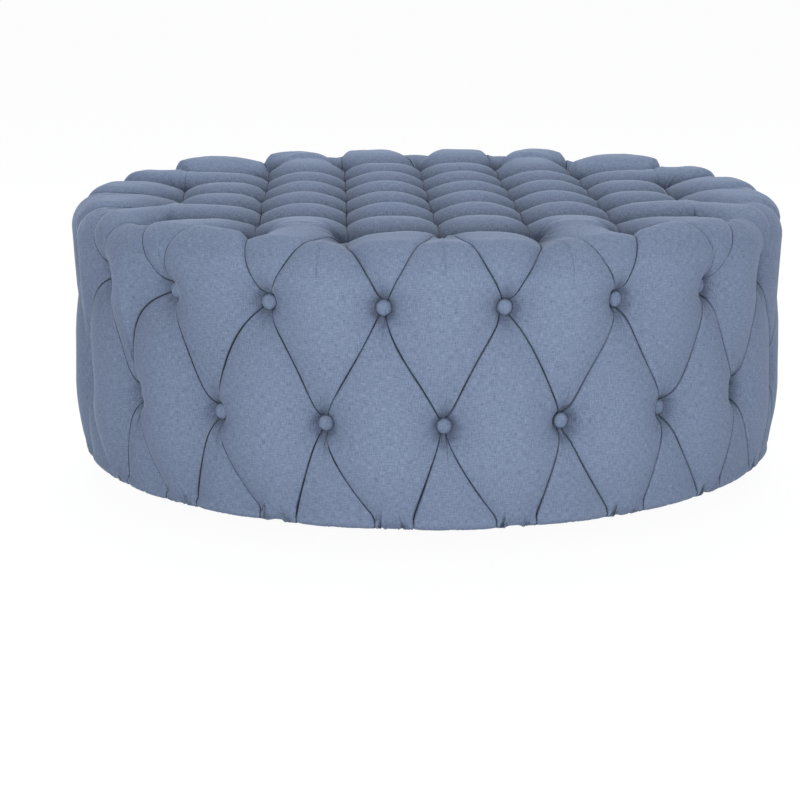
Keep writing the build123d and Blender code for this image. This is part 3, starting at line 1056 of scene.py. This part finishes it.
tint = add(tree, "ShaderNodeMix", tints, data_type="RGBA").outputs["Result"]
bump = add(tree, "ShaderNodeBump", {"Height": height, "Strength": 0.5, "Distance": 0.35 * MM})
tree.links.new(bump.outputs["Normal"], shader.inputs["Normal"])
shader.inputs["Roughness"].default_value = 0.92
shader.inputs["Specular IOR Level"].default_value = 0.2
shader.inputs["Sheen Weight"].default_value = 0.6
shader.inputs["Sheen Roughness"].default_value = 0.3
shader.inputs["Sheen Tint"].default_value = linear("b9c6da")

# %% Painted shade in the valleys
# Painted shade in the creases: the colour darkens where little open room is seen nearby.
room_seen = add(tree, "ShaderNodeAmbientOcclusion", {"Distance": 30 * MM}, samples=6).outputs["AO"]
folds = {"Value": room_seen, "From Min": 0.1, "From Max": 0.7, "To Min": 0.5, "To Max": 1.0}
fold_shade = add(tree, "ShaderNodeMapRange", folds).outputs["Result"]
# Painted shade by depth: the colour darkens with each point's depth below the crests, and painted
# light lifts it a little right at the crests.
sunk = add(tree, "ShaderNodeAttribute", attribute_name="sunk").outputs["Fac"]
valleys = {"Value": sunk, "From Min": 1.0, "From Max": 22.0, "To Min": 1.08, "To Max": 0.48}
valley_shade = add(tree, "ShaderNodeMapRange", valleys).outputs["Result"]
both_shades = {0: fold_shade, 1: valley_shade}
darkness = add(tree, "ShaderNodeMath", both_shades, operation="MULTIPLY").outputs[0]
# Both painted shades multiply into the cloth's colour.
painted_shading = {"Factor": 1.0, "A": tint, "B": darkness}
colour = add(tree, "ShaderNodeMix", painted_shading, data_type="RGBA", blend_type="MULTIPLY")
tree.links.new(colour.outputs["Result"], shader.inputs["Base Color"])
for piece in (border_cover, top_cover, top_set, upper_set, lower_set):
    piece.data.materials.clear()
    piece.data.materials.append(weave)
print(weave.name, len(tree.nodes), "nodes")

# %% [markdown]
# ## Frame, feet and underside
#
# These are the solids of the model, which keep their shapes. Softwood has long
# pale grain, the feet are stained nearly black, the cloth underneath is a
# pressed black non-woven, and the staples and studs are plated steel.

# %% Finishes of the hard pieces
def wood(name, early, late, grain, roughness):
    """Sawn or stained wood, with a long grain."""
    finish, tree, shader = new_finish(name)
    place = add(tree, "ShaderNodeTexCoord").outputs["Object"]
    scale = (1 / grain, 0.12 / grain, 1 / grain)
    long = add(tree, "ShaderNodeMapping", {"Vector": place, "Scale": scale}).outputs["Vector"]
    noises = {"Vector": long, "Scale": 1.0, "Detail": 4.0, "Distortion": 0.8}
    rings = add(tree, "ShaderNodeTexNoise", noises).outputs["Fac"]
    colours = {"Factor": rings, "A": linear(early), "B": linear(late)}
    colour = add(tree, "ShaderNodeMix", colours, data_type="RGBA")
    bump = add(tree, "ShaderNodeBump", {"Height": rings, "Strength": 0.25, "Distance": 0.3 * MM})
    tree.links.new(colour.outputs["Result"], shader.inputs["Base Color"])
    tree.links.new(bump.outputs["Normal"], shader.inputs["Normal"])
    shader.inputs["Roughness"].default_value = roughness
    return finish


def speckled(name, low, high, grit, roughness, metallic=0.0):
    """A finish with a fine even grain, such as foam, felt, twine or plated steel."""
    finish, tree, shader = new_finish(name)
    place = add(tree, "ShaderNodeTexCoord").outputs["Object"]
    noises = {"Vector": place, "Scale": 1 / grit, "Detail": 3.0}
    grain = add(tree, "ShaderNodeTexNoise", noises).outputs["Fac"]
    colours = {"Factor": grain, "A": linear(low), "B": linear(high)}
    colour = add(tree, "ShaderNodeMix", colours, data_type="RGBA")
    bump = add(tree, "ShaderNodeBump", {"Height": grain, "Strength": 0.3, "Distance": 0.2 * MM})
    tree.links.new(colour.outputs["Result"], shader.inputs["Base Color"])
    tree.links.new(bump.outputs["Normal"], shader.inputs["Normal"])
    shader.inputs["Roughness"].default_value = roughness
    shader.inputs["Metallic"].default_value = metallic
    return finish


finishes = {
    "frame_wood": wood("sawn_softwood", "d9b98a", "b98f5c", 4 * MM, 0.75),
    "foot_wood": wood("dark_stained_wood", "2a1d16", "17100c", 3 * MM, 0.4),
    "foam": speckled("open_foam", "e9e2c8", "d8cfae", 1.2 * MM, 0.95),
    "twine": speckled("waxed_twine", "cfc3a4", "a89a78", 0.6 * MM, 0.8),
    "dust_cloth": speckled("pressed_nonwoven", "17181a", "24262a", 1.5 * MM, 0.9),
    "stud_steel": speckled("zinc_plated_steel", "a9abad", "8f9295", 1.0 * MM, 0.35, 1.0),
    "staple_steel": speckled("bright_staple_wire", "b4b6b8", "9a9c9e", 0.8 * MM, 0.3, 1.0),
}
slot_of = {part["node"]: part["material_slot"] for part in frame["record"]["subparts"]}
for name, solid in nodes.items():
    finish = finishes.get(slot_of[name], weave)
    solid.data.materials.clear()
    solid.data.materials.append(finish)
print(len(nodes), "solids finished")

# %% [markdown]
# ## Floor and light
#
# The photograph was taken in a white studio: a broad light low in front, a
# weaker one to the right, one overhead, and a floor that burns out to white.
# The floor here is white paper that still takes the soft shadow under the
# body. The camera and mirrored rays see it glow, and the soft light that it
# throws back at the cover stays that of plain paper.

# %% White stage
glow_strength = 1.06
glow_share = 0.9
soft_strength = 0.32


bpy.ops.object.select_all(action="DESELECT")
bpy.ops.mesh.primitive_plane_add(size=40, location=(0, 0, 0))
floor = bpy.context.object
floor.name = "studio_floor"
paper, tree, shader = new_finish("white_paper")
shader.inputs["Base Color"].default_value = linear("f4f4f4")
shader.inputs["Roughness"].default_value = 0.9
rays = add(tree, "ShaderNodeLightPath").outputs
direct = {0: rays["Is Camera Ray"], 1: rays["Is Glossy Ray"]}
direct = add(tree, "ShaderNodeMath", direct, operation="MAXIMUM").outputs[0]
seen = {0: direct, 1: rays["Is Transmission Ray"]}
seen = add(tree, "ShaderNodeMath", seen, operation="MAXIMUM").outputs[0]
share = add(tree, "ShaderNodeMath", {0: seen, 1: glow_share}, operation="MULTIPLY").outputs[0]
glow = {"Color": (1, 1, 1, 1), "Strength": glow_strength}
glow = add(tree, "ShaderNodeEmission", glow).outputs["Emission"]
mixed = add(tree, "ShaderNodeMixShader", {0: share, 1: shader.outputs["BSDF"], 2: glow})
tree.links.new(mixed.outputs["Shader"], tree.nodes["Material Output"].inputs["Surface"])
floor.data.materials.append(paper)
print(floor.name, "of", paper.name)

# %% Soft light from every side
world = bpy.data.worlds.new("studio")
bpy.context.scene.world = world
world.use_nodes = True
tree = world.node_tree
rays = add(tree, "ShaderNodeLightPath").outputs
seen = {0: rays["Is Camera Ray"], 1: rays["Is Transmission Ray"]}
seen = add(tree, "ShaderNodeMath", seen, operation="MAXIMUM").outputs[0]
soft = {"Color": linear("eef2f8"), "Strength": soft_strength}
soft = add(tree, "ShaderNodeBackground", soft).outputs["Background"]
white = {"Color": (1, 1, 1, 1), "Strength": 1.0}
white = add(tree, "ShaderNodeBackground", white).outputs["Background"]
mixed = add(tree, "ShaderNodeMixShader", {0: seen, 1: soft, 2: white})
tree.links.new(mixed.outputs["Shader"], tree.nodes["World Output"].inputs["Surface"])
print("soft light of strength", soft_strength)

# %% Lamps
lamps = (
    ("key", (-0.9, -3.8, 1.1), 2.0, 63.0),
    ("fill", (2.8, -2.6, 0.9), 2.0, 24.0),
    ("top", (0.0, 1.2, 3.0), 2.2, 46.0),
)
aim = Vector((0, 0, 0.25))
for name, place, size, power in lamps:
    bpy.ops.object.light_add(type="AREA", location=place)
    lamp = bpy.context.object
    lamp.name = f"{name}_lamp"
    lamp.data.shape = "DISK"
    lamp.data.size = size
    lamp.data.energy = power
    lamp.rotation_euler = (aim - Vector(place)).to_track_quat("-Z", "Y").to_euler()
bpy.context.scene.view_settings.view_transform = "Standard"
print(len(lamps), "lamps")
